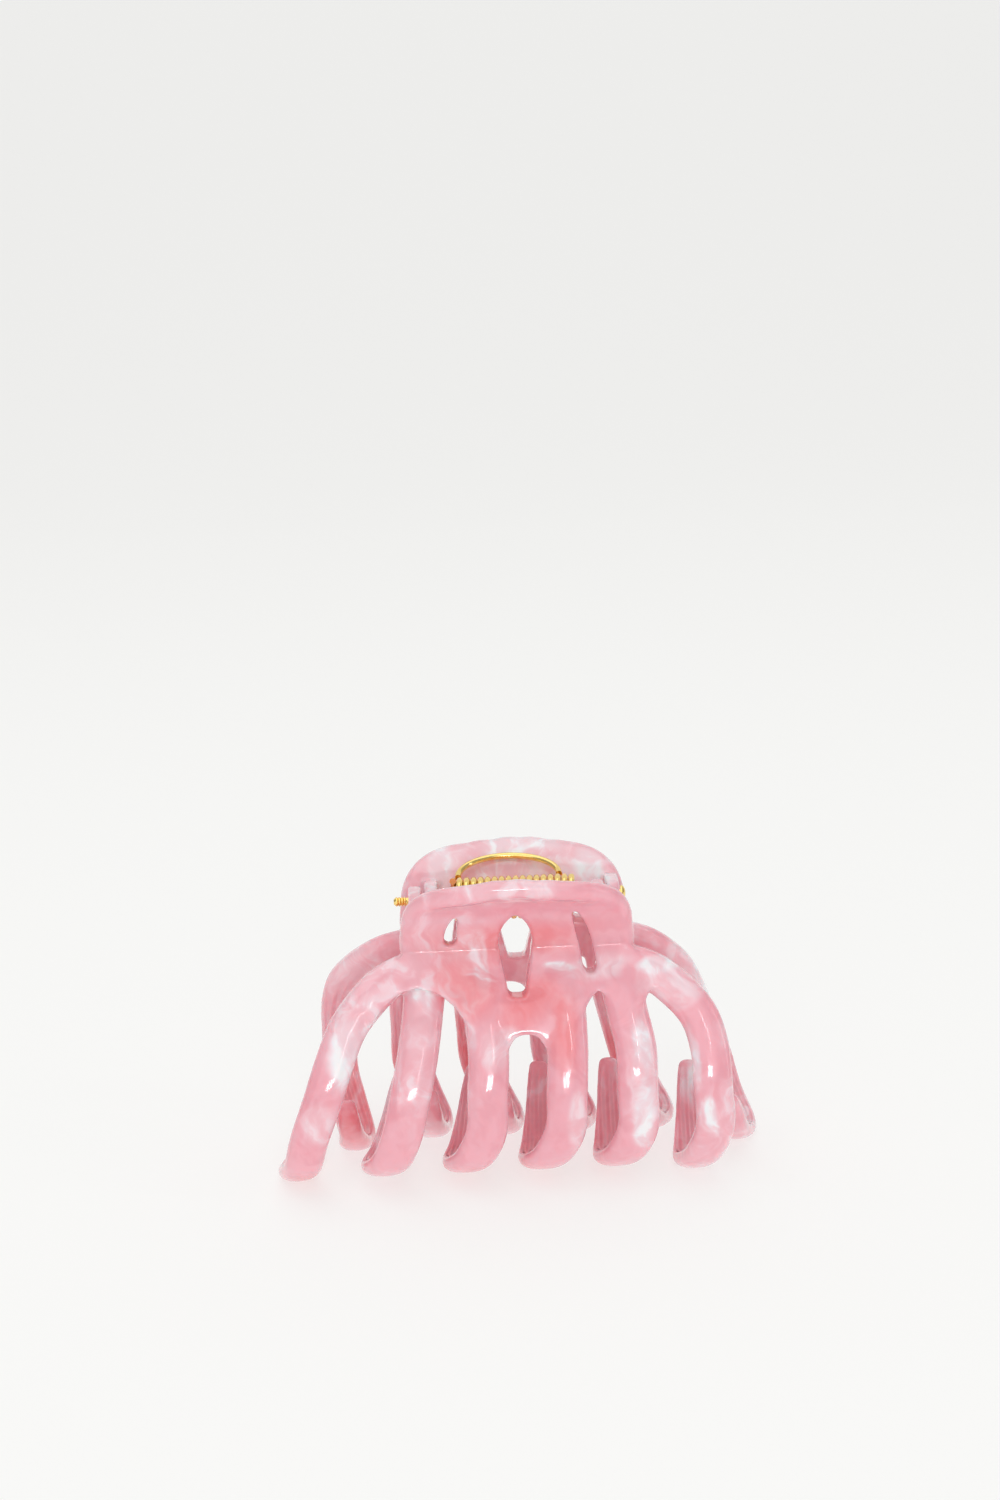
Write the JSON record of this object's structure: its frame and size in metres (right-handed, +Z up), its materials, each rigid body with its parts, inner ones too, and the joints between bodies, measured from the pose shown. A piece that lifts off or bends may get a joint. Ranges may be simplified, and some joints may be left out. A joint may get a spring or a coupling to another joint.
{
  "type": "claw hair clip",
  "caption": "Large sprung hair clip: two curved claw jaws with open waists, pinned together through ears, with a coil spring and wire arms between the handles.",
  "frame": {"origin": "on the floor under the middle of the hinge, with the clip closed and standing on the four feet of its outer claws", "axes": "+X along the hinge pin towards its domed head, +Y from the front jaw towards the back jaw, +Z up towards the handles' rims"},
  "size_m": [0.1104, 0.053, 0.0708],
  "materials": {
    "marbled_plastic": "polished translucent pink with milky white marbling",
    "gold_plate": "polished gold-tone plating on spring wire"
  },
  "bodies": {
    "back_half": {"back_jaw": "marbled_plastic", "hinge_pin": "gold_plate", "spring_coil": "gold_plate", "spring_arm_back": "gold_plate"},
    "front_half": {"front_jaw": "marbled_plastic", "spring_arm_front": "gold_plate"}
  },
  "joints": [
    {"name": "jaw_hinge", "type": "hinge", "parent": "back_half", "child": "front_half", "pos_m": [0, 0, 0.0613], "axis": [-1, 0, 0], "range_deg": [0, 60], "stiffness_Nm_per_rad": 0.08, "springref_deg": -57.3}
  ]
}
